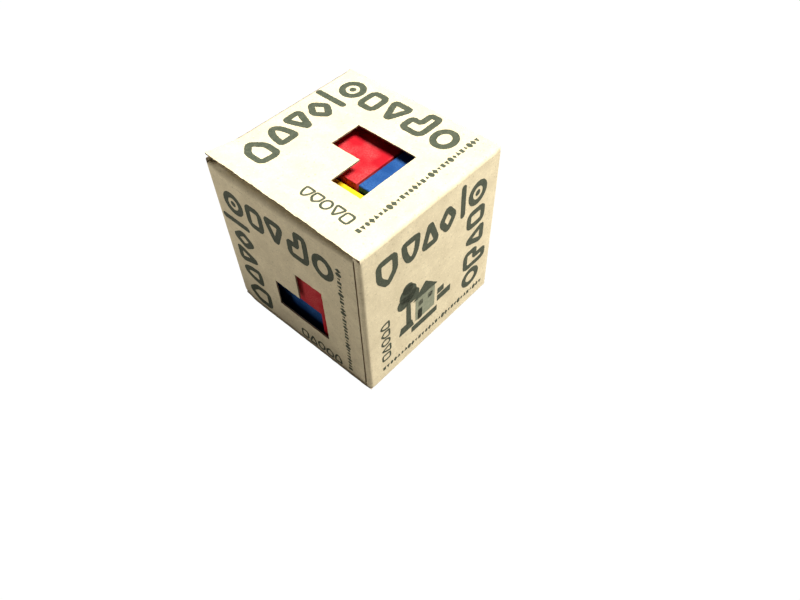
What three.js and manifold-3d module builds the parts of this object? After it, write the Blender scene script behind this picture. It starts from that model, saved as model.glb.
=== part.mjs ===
// Small tuck-end carton of recycled greyboard that holds a painted wooden cube puzzle.
//
// Frame, in millimetres: origin at the centre of the base, +Z up.
// The front wall, with its window, faces -Y. The right wall, which carries the lid, faces +X.
// The carton is sized around the puzzle: board, clearances and flaps are added to the cube.
//
// Every panel of the folded blank is a plate of its own, because each crease is a hinge.
// A hinge line lies on the outer corner of its fold, so a panel turns clear of its wall.

import * as THREE from 'three';
import { mergeVertices } from 'three/addons/utils/BufferGeometryUtils.js';
import Module from 'manifold-3d';

const wasm = await Module();
wasm.setup();

// ---- Driving dimensions -------------------------------------------------------------------

// Puzzle: a cube of 3 x 3 x 3 cells cut into seven pieces.
const cell = 17.5;            // pitch of the cells
const cellsPerSide = 3;
const pieceGap = 0.2;         // least play between neighbouring pieces
const proud = 1.8;            // the two loose upper pieces stand up by this

// Board and the room left round the puzzle.
const board = 0.5;            // thickness of the board
const frontRoom = 2.05;       // front wall to puzzle
const backRoom = 2.05;        // back wall to puzzle
const floorRoom = 0.1;        // lower dust flaps to puzzle
const headRoom = 1.0;         // proud pieces to upper dust flaps
const topStep = 1.2;          // lid to the dust flaps below it
const bottomStep = 0.9;       // bottom panel to the dust flaps above it

// Creases and cut edges.
const creaseGap = 0.1;        // cut left between two plates at a hinged crease
const tuckCreaseGap = 0.3;    // the same at the fold of a tuck flap, which leans
const rawEdgeGap = 0.2;       // closing panel to the cut edge of the wall under it
const panelSideGap = 0.1;     // closing panel set in from the side walls' outer faces

// Tuck flaps.
const tuckLength = 10;
const tuckSideGap = 0.9;      // end of a tuck flap to the side wall's inner face
const tuckCornerRadius = 4;
const tuckWallGap = 0.1;      // fold of the flap to the wall it slips behind
const tuckPuzzleGap = 1.28;   // tip of the flap to the puzzle
const tuckFollow = 0.2;       // turn of a tuck flap per turn of its panel

// Dust flaps.
const dustLength = 14.5;
const dustFollow = 0.5;       // turn of a dust flap per turn of the panel over it
const dustTaperSpare = 1.2;   // taper beyond the least that clears the turning panel
const dustHingeGap = 1.0;     // foot of the taper to the hinge wall's inner face
const dustTuckGap = 0.7;      // straight edge to the tip of the tuck flap
const dustCornerCut = 3;      // chamfer of the free corner on the tuck side

// Glue flap, inside the front wall at the front right corner.
const glueFlapWidth = 9;
const glueFlapEndCut = 4;     // slope of its ends
const glueFlapInset = 2.5;    // its ends set in from the ends of the right wall
const seamSetback = 2.2;      // cut edge of the front wall to the corner

// Windows: three squares in an L.
const windowSquare = 11.1;
const lidWindowFromHinge = 14.8;
const lidWindowFromFront = 16;
const frontWindowFromRight = 16.95;
const frontWindowFromBase = 11.3;

// ---- Sizes that follow --------------------------------------------------------------------

const puzzleSide = cell * cellsPerSide;

// As a panel lifts, the tip of its tuck flap first swings outward. The flap leans in by this.
const tuckInset = ((1 + tuckFollow) * tuckLength) ** 2 / (2 * puzzleSide);
const sideRoom = tuckWallGap + tuckInset + board + tuckPuzzleGap;

const width = puzzleSide + 2 * (sideRoom + board);
const depth = puzzleSide + frontRoom + backRoom + 2 * board;
const dustBottom = board + bottomStep;
const puzzleBase = dustBottom + board + floorRoom;
const dustTop = puzzleBase + puzzleSide + proud + headRoom + board;
const height = dustTop + topStep + board;

const innerX = width / 2 - board;
const innerY = depth / 2 - board;
const foldX = innerX - tuckWallGap;
const puzzleCentreY = (frontRoom - backRoom) / 2;

// ---- Materials ----------------------------------------------------------------------------

const finish = (color, roughness) => new THREE.MeshStandardMaterial({ color, roughness, metalness: 0 });

const greyboard = finish(0xd9cdb0, 0.95);
const paints = {
  red: finish(0xe0262f, 0.5),
  blue: finish(0x1f5cae, 0.5),
  yellow: finish(0xf7dc17, 0.5),
  green: finish(0x2f8f4a, 0.5),
  natural: finish(0xd8b37c, 0.6),
};

// ---- Plates -------------------------------------------------------------------------------

// The plane that a plate's outline is drawn in, and the axis that its thickness runs along.
const planes = {
  xy: new THREE.Matrix4().makeBasis(
    new THREE.Vector3(1, 0, 0), new THREE.Vector3(0, 1, 0), new THREE.Vector3(0, 0, 1)),
  xz: new THREE.Matrix4().makeBasis(
    new THREE.Vector3(1, 0, 0), new THREE.Vector3(0, 0, 1), new THREE.Vector3(0, -1, 0)),
  yz: new THREE.Matrix4().makeBasis(
    new THREE.Vector3(0, 1, 0), new THREE.Vector3(0, 0, 1), new THREE.Vector3(1, 0, 0)),
};

// A board plate named `name`. Its outline lies in `plane`, and `level` is the lowest
// coordinate along the third axis.
function plate(name, outline, plane, level) {
  const geometry = new THREE.ExtrudeGeometry(outline, {
    depth: board, bevelEnabled: false, curveSegments: 6,
  });
  geometry.applyMatrix4(planes[plane]);
  const mesh = new THREE.Mesh(geometry, greyboard);
  mesh.name = name;
  const offsets = {
    xy: [0, 0, level],
    xz: [0, level + board, 0],
    yz: [level, 0, 0],
  };
  mesh.position.set(...offsets[plane]);
  return mesh;
}

function polygon(points) {
  return new THREE.Shape(points.map(([u, v]) => new THREE.Vector2(u, v)));
}

function rectangle(left, right, low, high) {
  return polygon([[left, low], [right, low], [right, high], [left, high]]);
}

// The L window in the square whose high-u, low-v corner is given: the square on the low-u
// side is left out, at the bottom if `missing` is 'low' and at the top if it is 'high'.
function windowPath(right, low, missing) {
  const left = right - 2 * windowSquare;
  const middleU = right - windowSquare;
  const high = low + 2 * windowSquare;
  const middleV = low + windowSquare;
  const corners = missing === 'low'
    ? [[middleU, low], [right, low], [right, high], [left, high], [left, middleV], [middleU, middleV]]
    : [[left, low], [right, low], [right, high], [middleU, high], [middleU, middleV], [left, middleV]];
  return new THREE.Path(corners.map(([u, v]) => new THREE.Vector2(u, v)));
}

// ---- Walls: one sleeve, closed by the glue flap -------------------------------------------

function makeWalls() {
  const sideLow = dustBottom + board + creaseGap;
  const sideHigh = dustTop - board - creaseGap;
  const hingeHigh = height - board - creaseGap;
  const tuckHigh = height - board - rawEdgeGap;
  const hingeLow = board + creaseGap;
  const tuckLow = board + rawEdgeGap;

  const front = rectangle(-width / 2, width / 2 - seamSetback, sideLow, sideHigh);
  front.holes.push(windowPath(width / 2 - frontWindowFromRight, frontWindowFromBase, 'high'));

  const flapRight = innerX;
  const flapLeft = flapRight - glueFlapWidth;
  const flapLow = tuckLow + glueFlapInset;
  const flapHigh = hingeHigh - glueFlapInset;
  const glueFlap = polygon([
    [flapRight, flapLow], [flapRight, flapHigh],
    [flapLeft, flapHigh - glueFlapEndCut], [flapLeft, flapLow + glueFlapEndCut],
  ]);

  const walls = new THREE.Group();
  walls.add(
    plate('front_wall', front, 'xz', -depth / 2),
    plate('back_wall', rectangle(-width / 2, width / 2, sideLow, sideHigh), 'xz', innerY),
    plate('right_wall', rectangle(-innerY, innerY, tuckLow, hingeHigh), 'yz', innerX),
    plate('left_wall', rectangle(-innerY, innerY, hingeLow, tuckHigh), 'yz', -width / 2),
    plate('glue_flap', glueFlap, 'xz', -innerY),
  );
  return walls;
}

// ---- Closing panels and their tuck flaps --------------------------------------------------

// The outline of a closing panel, from its hinge at hingeX to its fold at -side * foldX.
function panelOutline(side) {
  const halfDepth = depth / 2 - panelSideGap;
  const ends = [side * width / 2, -side * foldX];
  return rectangle(Math.min(...ends), Math.max(...ends), -halfDepth, halfDepth);
}

// A tuck flap with rounded free corners. It hangs from the fold of its panel and leans in
// towards the puzzle. `side` is the side of the fold (+1 or -1 on X) and `up` its direction.
function tuckFlap(name, side, up) {
  const half = innerY - tuckSideGap;
  const radius = tuckCornerRadius;
  const tip = tuckLength - board - tuckCreaseGap;
  const outline = new THREE.Shape();
  outline.moveTo(-half, 0);
  outline.lineTo(half, 0);
  outline.lineTo(half, tip - radius);
  outline.absarc(half - radius, tip - radius, radius, 0, Math.PI / 2);
  outline.lineTo(-half + radius, tip);
  outline.absarc(-half + radius, tip - radius, radius, Math.PI / 2, Math.PI);
  const mesh = plate(name, outline, 'yz', side > 0 ? -board : 0);
  const fold = new THREE.Group();
  const level = board + tuckCreaseGap;
  fold.add(mesh);
  fold.position.set(side * foldX, 0, up > 0 ? level : height - level);
  fold.rotation.y = -up * side * Math.asin(tuckInset / tuckLength);
  mesh.rotation.x = up > 0 ? 0 : Math.PI;
  return fold;
}

// A dust flap on the front (facing -1) or back (+1) wall. The edge on the side of the turning
// panel's hinge tapers, because the flap rises under that panel as it opens.
function dustFlap(name, facing, hingeSide, level) {
  const slope = dustFollow * dustTaperSpare;
  const hingeFoot = innerX - dustHingeGap;
  const tuckEdge = foldX - tuckInset - board - dustTuckGap;
  const outline = polygon([
    [hingeSide * hingeFoot, 0],
    [hingeSide * (hingeFoot - slope * dustLength), dustLength],
    [-hingeSide * (tuckEdge - dustCornerCut), dustLength],
    [-hingeSide * tuckEdge, dustLength - dustCornerCut],
    [-hingeSide * tuckEdge, 0],
  ].map(([x, reach]) => [x, facing * (depth / 2 - reach)]));
  return plate(name, outline, 'xy', level);
}

function makeTop() {
  const lid = panelOutline(1);
  lid.holes.push(windowPath(width / 2 - lidWindowFromHinge, -depth / 2 + lidWindowFromFront, 'low'));
  const top = new THREE.Group();
  top.add(
    plate('lid_panel', lid, 'xy', height - board),
    tuckFlap('lid_tuck_flap', -1, -1),
    dustFlap('top_dust_flap_front', -1, 1, dustTop - board),
    dustFlap('top_dust_flap_back', 1, 1, dustTop - board),
  );
  return top;
}

function makeBottom() {
  const bottom = new THREE.Group();
  bottom.add(
    plate('bottom_panel', panelOutline(-1), 'xy', 0),
    tuckFlap('bottom_tuck_flap', 1, 1),
    dustFlap('bottom_dust_flap_front', -1, -1, dustBottom),
    dustFlap('bottom_dust_flap_back', 1, -1, dustBottom),
  );
  return bottom;
}

// ---- Puzzle -------------------------------------------------------------------------------

// Cells of each piece, as [right, back, up] counted from the front left bottom cell, and how
// far the piece lies from its place in the lattice, because the cube is loose in the carton.
const pieces = [
  {
    name: 'piece_screw_top', paint: 'red', shift: [-1.2, 1.9, proud],
    cells: [[0, 2, 1], [0, 2, 2], [1, 2, 2], [1, 1, 2]],
  },
  {
    name: 'piece_screw_front', paint: 'red', shift: [0.5, -1.3, 0],
    cells: [[1, 0, 1], [2, 0, 1], [2, 0, 0], [2, 1, 0]],
  },
  {
    name: 'piece_corner', paint: 'blue', shift: [-0.8, 1.9, proud],
    cells: [[2, 2, 2], [2, 1, 2], [2, 1, 1]],
  },
  {
    name: 'piece_tripod', paint: 'blue', shift: [-0.3, 0.9, 0],
    cells: [[0, 0, 0], [1, 0, 0], [0, 1, 0], [0, 0, 1]],
  },
  {
    name: 'piece_long_hook', paint: 'yellow', shift: [-1.1, 1.6, 0],
    cells: [[0, 1, 2], [0, 0, 2], [1, 0, 2], [2, 0, 2]],
  },
  {
    name: 'piece_zigzag', paint: 'natural', shift: [-0.9, 1.8, 0],
    cells: [[0, 1, 1], [1, 1, 1], [1, 2, 1], [2, 2, 1]],
  },
  {
    name: 'piece_tee', paint: 'green', shift: [-0.5, 1.8, 0],
    cells: [[0, 2, 0], [1, 2, 0], [2, 2, 0], [1, 1, 0]],
  },
];

function toSolid(geometry) {
  geometry.deleteAttribute('normal');
  geometry.deleteAttribute('uv');
  const merged = mergeVertices(geometry, 1e-5);
  return new wasm.Manifold(new wasm.Mesh({
    numProp: 3,
    vertProperties: new Float32Array(merged.attributes.position.array),
    triVerts: new Uint32Array(merged.index.array),
  }));
}

function toGeometry(solid) {
  const { vertProperties, triVerts } = solid.getMesh();
  const geometry = new THREE.BufferGeometry();
  geometry.setAttribute('position', new THREE.BufferAttribute(vertProperties, 3));
  geometry.setIndex(new THREE.BufferAttribute(triVerts, 1));
  geometry.computeVertexNormals();
  return geometry;
}

// A bar that fills the box from one cell to another.
function barBetween(first, second) {
  const low = first.map((value, axis) => Math.min(value, second[axis]) * cell + pieceGap / 2);
  const high = first.map((value, axis) => (Math.max(value, second[axis]) + 1) * cell - pieceGap / 2);
  const size = high.map((value, axis) => value - low[axis]);
  const centre = high.map((value, axis) => (value + low[axis]) / 2);
  return toSolid(new THREE.BoxGeometry(...size).translate(...centre));
}

function areNeighbours(first, second) {
  const steps = first.map((value, axis) => Math.abs(value - second[axis]));
  return steps.reduce((sum, step) => sum + step, 0) === 1;
}

// A piece is the union of the bars between each pair of its neighbouring cells.
function puzzlePiece({ name, paint, shift, cells }) {
  let solid = null;
  for (let i = 0; i < cells.length; i += 1) {
    for (let j = i + 1; j < cells.length; j += 1) {
      if (areNeighbours(cells[i], cells[j])) {
        const bar = barBetween(cells[i], cells[j]);
        solid = solid ? solid.add(bar) : bar;
      }
    }
  }
  const mesh = new THREE.Mesh(toGeometry(solid), paints[paint]);
  mesh.name = name;
  mesh.position.set(...shift);
  return mesh;
}

function makePuzzle() {
  const puzzle = new THREE.Group();
  puzzle.position.set(-puzzleSide / 2, puzzleCentreY - puzzleSide / 2, puzzleBase);
  puzzle.add(...pieces.map(puzzlePiece));
  return puzzle;
}

// ---- Whole object -------------------------------------------------------------------------

const object = new THREE.Group();
object.add(makeWalls(), makeTop(), makeBottom(), makePuzzle());

export default object;
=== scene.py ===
"""Looks of the small greyboard carton with its painted wooden cube puzzle.

Lengths are millimetres in the part's frame (origin at the centre of the base, +Z up, front wall
facing -Y, lid hinged on the right wall at +X) until a mesh is made, which is in metres. Only the
floor, the dome and the camera's places are written in metres.
"""

import math

import bmesh
import bpy
import numpy as np
from mathutils import Matrix, Vector, noise


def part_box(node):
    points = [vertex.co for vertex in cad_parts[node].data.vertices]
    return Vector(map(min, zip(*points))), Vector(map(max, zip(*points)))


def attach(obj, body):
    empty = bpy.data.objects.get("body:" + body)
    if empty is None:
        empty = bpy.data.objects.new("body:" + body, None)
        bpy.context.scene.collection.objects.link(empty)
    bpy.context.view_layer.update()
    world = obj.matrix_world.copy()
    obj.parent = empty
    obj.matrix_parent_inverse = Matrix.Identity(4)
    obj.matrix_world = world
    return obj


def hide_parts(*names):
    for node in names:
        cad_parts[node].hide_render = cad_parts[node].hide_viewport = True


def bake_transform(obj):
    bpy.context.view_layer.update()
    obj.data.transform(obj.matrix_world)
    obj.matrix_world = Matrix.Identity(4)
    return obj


MM = 0.001

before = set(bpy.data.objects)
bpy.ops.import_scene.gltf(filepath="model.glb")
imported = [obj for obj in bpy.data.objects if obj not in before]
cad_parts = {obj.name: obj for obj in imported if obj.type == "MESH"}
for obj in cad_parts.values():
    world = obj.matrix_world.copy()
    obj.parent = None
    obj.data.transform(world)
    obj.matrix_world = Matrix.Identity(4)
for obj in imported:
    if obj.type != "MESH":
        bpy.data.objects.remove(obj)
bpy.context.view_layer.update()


# ---- Sizes taken from the CAD nodes ----


def node_box(name):
    """Lowest and highest corner of a CAD node, in millimetres."""
    low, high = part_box(name)
    return np.array(low) / MM, np.array(high) / MM


SEAM_X = node_box("front_wall")[1][0]  # the glued seam, near the front wall's right end
HALF_Y = node_box("back_wall")[1][1]
RIGHT_LOW, RIGHT_HIGH = node_box("right_wall")
WALL_TOP = node_box("left_wall")[1][2]
GLUE_LOW = node_box("glue_flap")[0]
LID_LOW, LID_HIGH = node_box("lid_panel")
LID_TUCK_LOW, LID_TUCK_HIGH = node_box("lid_tuck_flap")
TOP_DUST = node_box("top_dust_flap_front")[1][2]  # upper face of the upper dust flaps
BASE_DUST = node_box("bottom_dust_flap_front")[0][2]  # lower face of the lower dust flaps

BOARD = RIGHT_HIGH[0] - RIGHT_LOW[0]
HALF_X = RIGHT_HIGH[0]
TOP = LID_HIGH[2]
DUST_LENGTH = 14.5
TUCK_LEAN = math.radians(7.88)  # the tuck flaps lean in from the wall

# Windows of three squares, as (low u, low v) of the square of two by two that they lie in.
SQUARE = 11.1
LID_WINDOW_FROM_HINGE = 14.8
LID_WINDOW_FROM_FRONT = 16.0
FRONT_WINDOW_FROM_RIGHT = 16.95
FRONT_WINDOW_FOOT = 11.3
LID_WINDOW = (HALF_X - LID_WINDOW_FROM_HINGE - 2 * SQUARE, -HALF_Y + LID_WINDOW_FROM_FRONT)
FRONT_WINDOW = (HALF_X - FRONT_WINDOW_FROM_RIGHT - 2 * SQUARE, FRONT_WINDOW_FOOT)

# Rounding of the folds, measured on the outer face.
CORNER_FOLD = 0.4
GLUED_FOLD = 1.1
LID_FOLD = 1.5
TUCK_FOLD = 0.6
END_TIGHTNESS = 0.22  # how much sharper the closing panels' folds are at their two ends
ARC_STEPS = 6

# How far the detailed walls run before the strip with the fold takes over.
DUST_REACH = 0.6  # straight board between the seam and the fold of a dust flap
LID_REACH = 1.75  # from the outer corner to where a closing panel's fold begins

RAW_EDGE_SWING = 0.07  # unevenness of a cut edge
noise.seed_set(1)  # the same unevenness in every run
STEP = 0.75  # grid of the board meshes


# ---- Small shape helpers ----


def stations(start, stop, step, breaks=()):
    """Evenly spread values from start up to stop, with the breaks among them."""
    knots = [start, *sorted(b for b in breaks if start < b < stop), stop]
    values = [start]
    for a, b in zip(knots, knots[1:]):
        count = max(1, round((b - a) / step))
        values += [a + (b - a) * k / count for k in range(1, count + 1)]
    return values


def folded_line(points, radii, step, breaks=()):
    """Samples a line in a plane whose corners are rounded to the right.

    Returns places, the directions to the left (the outer side), and the leg of each sample: k on
    the straight leg k, and a value between k and k + 1 on the fold after it.
    """
    points = [np.array(p, float) for p in points]
    legs = [b - a for a, b in zip(points, points[1:])]
    lengths = [float(np.linalg.norm(leg)) for leg in legs]
    ways = [leg / length for leg, length in zip(legs, lengths)]
    turns = []
    for a, b in zip(ways, ways[1:]):
        turns.append(-math.atan2(a[0] * b[1] - a[1] * b[0], float(a @ b)))
    trims = [r * math.tan(t / 2) for r, t in zip(radii, turns)]
    places, sides, leg_values = [], [], []
    for k, way in enumerate(ways):
        left = np.array([-way[1], way[0]])
        start = trims[k - 1] if k else 0.0
        stop = lengths[k] - (trims[k] if k < len(trims) else 0.0)
        leg_breaks = breaks[k] if k < len(breaks) else ()
        for value in stations(start, stop, step, leg_breaks):
            places.append(points[k] + way * value)
            sides.append(left)
            leg_values.append(float(k))
        if k < len(turns):
            centre = places[-1] - left * radii[k]
            for n in range(1, ARC_STEPS):
                share = n / ARC_STEPS
                angle = -turns[k] * share
                c, s = math.cos(angle), math.sin(angle)
                out = np.array([c * left[0] - s * left[1], s * left[0] + c * left[1]])
                places.append(centre + out * radii[k])
                sides.append(out)
                leg_values.append(k + share)
    return np.array(places), np.array(sides), np.array(leg_values)


def smooth(x):
    x = np.clip(x, 0.0, 1.0)
    return x * x * (3 - 2 * x)


def square_lines(low):
    """The three lines between which a window's squares lie, along u or v."""
    return [low + SQUARE * k for k in range(3)]


def in_window(u, v, corner, missing_high):
    """True inside the L window whose bounding square has this low corner."""
    a, b = (u - corner[0]) / SQUARE, (v - corner[1]) / SQUARE
    if not (0 < a < 2 and 0 < b < 2):
        return False
    kept = a < 1 and (b > 1 if missing_high else b < 1)
    return not kept


# Bow of each panel: extent along u and v, and how far its middle stands out of plane.
BOWS = {
    "front": (-HALF_X + 1, SEAM_X, 3.5, 53.0, 0.12),
    "back": (-HALF_X + 1, HALF_X - 1, 3.5, 56.0, 0.15),
    "left": (-HALF_Y + 1, HALF_Y - 1, 2.0, 58.0, 0.18),
    "right": (-HALF_Y + 1.5, HALF_Y - 1, 1.2, 57.5, 0.25),
    "lid": (-HALF_X + 2.5, HALF_X - 1.7, -HALF_Y, HALF_Y, 0.2),
    "base": (-HALF_X + 1.5, HALF_X - 2.5, -HALF_Y, HALF_Y, -0.05),
}


def bow(panel, u, v):
    """How far the panel stands out of its plane at (u, v): one swell and a slight ripple."""
    u0, u1, v0, v1, height = BOWS[panel]
    a = np.clip((u - u0) / (u1 - u0), 0, 1)
    b = np.clip((v - v0) / (v1 - v0), 0, 1)
    ripple = 1 + 0.25 * np.sin(5.1 * a + 1.3) * np.sin(6.3 * b + 0.4)
    swell = height * np.sin(math.pi * a) * np.sin(math.pi * b) * ripple
    return swell + foot_bulge(u, v) if panel == "front" else swell


def foot_bulge(x, z):
    """The front wall's lower edge stands out, most near the left corner."""
    along = smooth((x + HALF_X - CORNER_FOLD) / 6.0) * (1 - 0.8 * np.clip((x + 20) / 48, 0, 1))
    return 0.5 * along * (1 - smooth(z / 16.0))


def edge_lift(x, y):
    """The lid's front edge has curled up, most at its free corner by the tuck fold."""
    from_hinge = np.clip((HALF_X - LID_FOLD - x) / (2 * HALF_X - LID_FOLD), 0, 1)
    return 1.62 * from_hinge * (2 - from_hinge) * (1 - smooth((y + HALF_Y) / 13.0))


def front_swell(x):
    """How far the upper front edge is pressed in: most near the left corner, least at the seam."""
    along = np.clip((x + HALF_X - CORNER_FOLD) / (SEAM_X + HALF_X - CORNER_FOLD), 0, 1)
    return smooth(along / 0.1) * (1 - 0.7 * smooth((along - 0.35) / 0.7))


def dust_radius(x, facing, turned):
    """Radius of a dust flap's fold along the wall."""
    if turned:
        return np.full_like(x, 0.55)
    if facing > 0:
        return np.full_like(x, 0.7)
    return 0.7 + 1.6 * front_swell(x)


def dust_drop(x, facing, turned):
    """How far a dust flap's fold sags below the flap."""
    return 0.6 * front_swell(x) if facing < 0 and not turned else np.zeros_like(x)


# ---- Meshes ----


def add_object(name, data):
    made = bpy.data.objects.new(name, data)
    bpy.context.scene.collection.objects.link(made)
    return made


def make_object(name, vertices, faces, materials, slots, flat=38):
    """A mesh object from vertices in millimetres, sharp where faces meet at over flat degrees."""
    mesh = bpy.data.meshes.new(name)
    mesh.from_pydata([tuple(v) for v in np.asarray(vertices, float) * MM], [], faces)
    for material in materials:
        mesh.materials.append(material)
    mesh.polygons.foreach_set("material_index", slots)
    work = bmesh.new()
    work.from_mesh(mesh)
    bmesh.ops.recalc_face_normals(work, faces=work.faces)
    work.to_mesh(mesh)
    work.free()
    mesh.shade_smooth()
    mesh.set_sharp_from_angle(angle=math.radians(flat))
    return add_object(name, mesh)


def wander(point, seed):
    """A smooth vector noise at a point in millimetres."""
    p = Vector((point[0] * 0.9 + seed, point[1] * 0.9, point[2] * 0.9))
    return np.array(noise.noise_vector(p))


def board_sheet(name, outer, inner, kept, joined=()):
    """A closed piece of board from two grids of points, its outer and inner faces.

    kept, of shape (nu, nv), says which cells are board. outer and inner have one more point than
    cells along u and v.
    joined names the grid's sides that meet another piece, so that they stay as they are:
    u0, u1, v0 and v1.
    """
    nu, nv = kept.shape
    padded = np.zeros((nu + 2, nv + 2), bool)
    padded[1:-1, 1:-1] = kept
    around = [padded[:-1, :-1], padded[1:, :-1], padded[:-1, 1:], padded[1:, 1:]]
    used = np.any(around, axis=0)
    uneven = used & ~np.all(around, axis=0)
    fixed = np.zeros_like(uneven)
    fixed[0, :] |= "u0" in joined
    fixed[-1, :] |= "u1" in joined
    fixed[:, 0] |= "v0" in joined
    fixed[:, -1] |= "v1" in joined
    layers = []
    for depth, grid in enumerate((outer, inner)):
        grid = grid.copy()
        for i, j in np.argwhere(uneven & ~fixed):
            grid[i, j] += wander(grid[i, j], 7.0 + 3.1 * depth) * RAW_EDGE_SWING
        layers.append(grid)
    index = -np.ones((2, nu + 1, nv + 1), int)
    count = int(used.sum())
    index[0][used] = np.arange(count)
    index[1][used] = np.arange(count) + count
    vertices = np.concatenate([layers[0][used], layers[1][used]])
    faces, slots = [], []
    for i, j in np.argwhere(kept):
        corners = ((i, j), (i + 1, j), (i + 1, j + 1), (i, j + 1))
        faces.append([int(index[0][c]) for c in corners])
        faces.append([int(index[1][c]) for c in reversed(corners)])
        slots += [0, 0]
        beside = ((i, j - 1), (i + 1, j), (i, j + 1), (i - 1, j))
        for side, (a, b) in enumerate(beside):
            if padded[a + 1, b + 1]:
                continue
            first, second = corners[side], corners[(side + 1) % 4]
            faces.append([int(n) for n in (
                index[0][second], index[0][first], index[1][first], index[1][second])])
            slots.append(1)
    return make_object(name, vertices, faces, GREYBOARD, slots)


# ---- Materials ----


class Nodes:
    """A short way to write a material's node tree on coordinates in millimetres."""

    def __init__(self, name):
        self.material = bpy.data.materials.new(name)
        self.material.use_nodes = True
        self.tree = self.material.node_tree
        self.shader = self.tree.nodes["Principled BSDF"]
        place = self.add("ShaderNodeTexCoord")
        scale = self.add("ShaderNodeMapping", Scale=(1 / MM, 1 / MM, 1 / MM))
        self.link(place.outputs["Object"], scale.inputs["Vector"])
        self.place = scale.outputs["Vector"]

    def add(self, kind, **values):
        """A new node with these values on its sockets. A socket's spaces are written as _."""
        node = self.tree.nodes.new(kind)
        for socket, value in values.items():
            node.inputs[socket.replace("_", " ")].default_value = value
        return node

    def link(self, source, target):
        self.tree.links.new(source, target)

    def stretched(self, scale, shift=(0, 0, 0)):
        """The coordinates scaled along each axis."""
        node = self.add("ShaderNodeMapping", Scale=scale, Location=shift)
        self.link(self.place, node.inputs["Vector"])
        return node.outputs["Vector"]

    def noise(self, scale, detail=4.0, rough=0.55, twist=0.0, place=None):
        node = self.add(
            "ShaderNodeTexNoise", Scale=scale, Detail=detail, Roughness=rough, Distortion=twist)
        self.link(place or self.place, node.inputs["Vector"])
        return node.outputs["Fac"]

    def cells(self, scale, place=None):
        """Distance to the nearest of scattered points."""
        node = self.add("ShaderNodeTexVoronoi", Scale=scale)
        self.link(place or self.place, node.inputs["Vector"])
        return node.outputs["Distance"]

    def spread(self, value, low, high, to_low=0.0, to_high=1.0):
        """value mapped from low..high to to_low..to_high, and held there."""
        node = self.add(
            "ShaderNodeMapRange", From_Min=low, From_Max=high, To_Min=to_low, To_Max=to_high)
        self.link(value, node.inputs["Value"])
        return node.outputs["Result"]

    def mix(self, share, first, second):
        """Colour between first and second, which are colours or outputs."""
        node = self.add("ShaderNodeMix")
        node.data_type = "RGBA"
        self.link(share, node.inputs[0])
        for value, socket in ((first, node.inputs[6]), (second, node.inputs[7])):
            if isinstance(value, tuple):
                socket.default_value = (*value, 1.0)
            else:
                self.link(value, socket)
        return node.outputs[2]

    def product(self, first, second):
        node = self.add("ShaderNodeMath")
        node.operation = "MULTIPLY"
        for value, socket in ((first, node.inputs[0]), (second, node.inputs[1])):
            if isinstance(value, float):
                socket.default_value = value
            else:
                self.link(value, socket)
        return node.outputs[0]

    def bump(self, height, strength, distance):
        """Raises the surface by height, up to distance in millimetres."""
        node = self.add("ShaderNodeBump", Strength=strength, Distance=distance * MM)
        self.link(height, node.inputs["Height"])
        self.link(node.outputs["Normal"], self.shader.inputs["Normal"])

    def finish(self, colour, roughness, specular=0.3):
        self.link(colour, self.shader.inputs["Base Color"])
        if isinstance(roughness, float):
            self.shader.inputs["Roughness"].default_value = roughness
        else:
            self.link(roughness, self.shader.inputs["Roughness"])
        self.shader.inputs["Specular IOR Level"].default_value = specular
        return self.material


def board_colour(nodes, pale, dark):
    """Recycled board: broad clouds, short matted fibres, and scattered light and dark flecks."""
    clouds = nodes.spread(nodes.noise(0.16, 3.0, 0.6), 0.35, 0.65)
    matted = nodes.spread(nodes.noise(1.5, 6.0, 0.72, 1.6), 0.36, 0.64)
    grain = nodes.spread(nodes.noise(5.5, 3.0, 0.6), 0.3, 0.7)
    middle = tuple((a + b) / 2 for a, b in zip(pale, dark))
    base = nodes.mix(clouds, middle, pale)
    base = nodes.mix(nodes.product(matted, 0.68), base, dark)
    base = nodes.mix(nodes.product(grain, 0.2), base, pale)
    flecks = nodes.spread(nodes.cells(0.55), 0.10, 0.2, 1.0, 0.0)
    base = nodes.mix(nodes.product(flecks, 0.35), base, tuple(c * 0.55 for c in dark))
    motes = nodes.spread(nodes.cells(0.8, nodes.stretched((1, 1, 1), (31, 17, 5))), 0.1, 0.2, 1.0, 0.0)
    return nodes.mix(nodes.product(motes, 0.5), base, tuple(min(1.0, c * 1.15) for c in pale))


BOARD_PALE = (0.76, 0.665, 0.45)
BOARD_DARK = (0.50, 0.42, 0.27)


def make_board():
    nodes = Nodes("greyboard_face")
    colour = board_colour(nodes, BOARD_PALE, BOARD_DARK)
    nodes.bump(nodes.noise(2.6, 6.0, 0.7, 0.8), 0.5, 0.05)
    return nodes.finish(colour, nodes.spread(nodes.noise(1.1), 0.3, 0.7, 0.82, 0.97), 0.2)


def make_board_edge():
    """Cut edge of the board: darker, with loose fibres."""
    nodes = Nodes("greyboard_edge")
    fibres = nodes.spread(nodes.noise(3.2, 6.0, 0.75, 1.2), 0.34, 0.66)
    colour = nodes.mix(fibres, (0.15, 0.11, 0.075), (0.33, 0.26, 0.175))
    nodes.bump(nodes.noise(5.0, 5.0, 0.7), 0.8, 0.08)
    return nodes.finish(colour, 0.95, 0.15)


def make_ink(name, solid, thin):
    """Printing ink that covers the board unevenly, so that specks of board show."""
    nodes = Nodes(name)
    clouds = nodes.spread(nodes.noise(0.7, 4.0, 0.6), 0.35, 0.65)
    colour = nodes.mix(clouds, solid, thin)
    specks = nodes.spread(nodes.noise(4.2, 4.0, 0.7, 0.6), 0.61, 0.72)
    colour = nodes.mix(nodes.product(specks, 0.55), colour, BOARD_DARK)
    nodes.bump(nodes.noise(3.0, 5.0, 0.7), 0.4, 0.03)
    return nodes.finish(colour, nodes.spread(nodes.noise(2.0), 0.3, 0.7, 0.62, 0.85), 0.25)


WOOD = (0.55, 0.38, 0.2)


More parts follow.
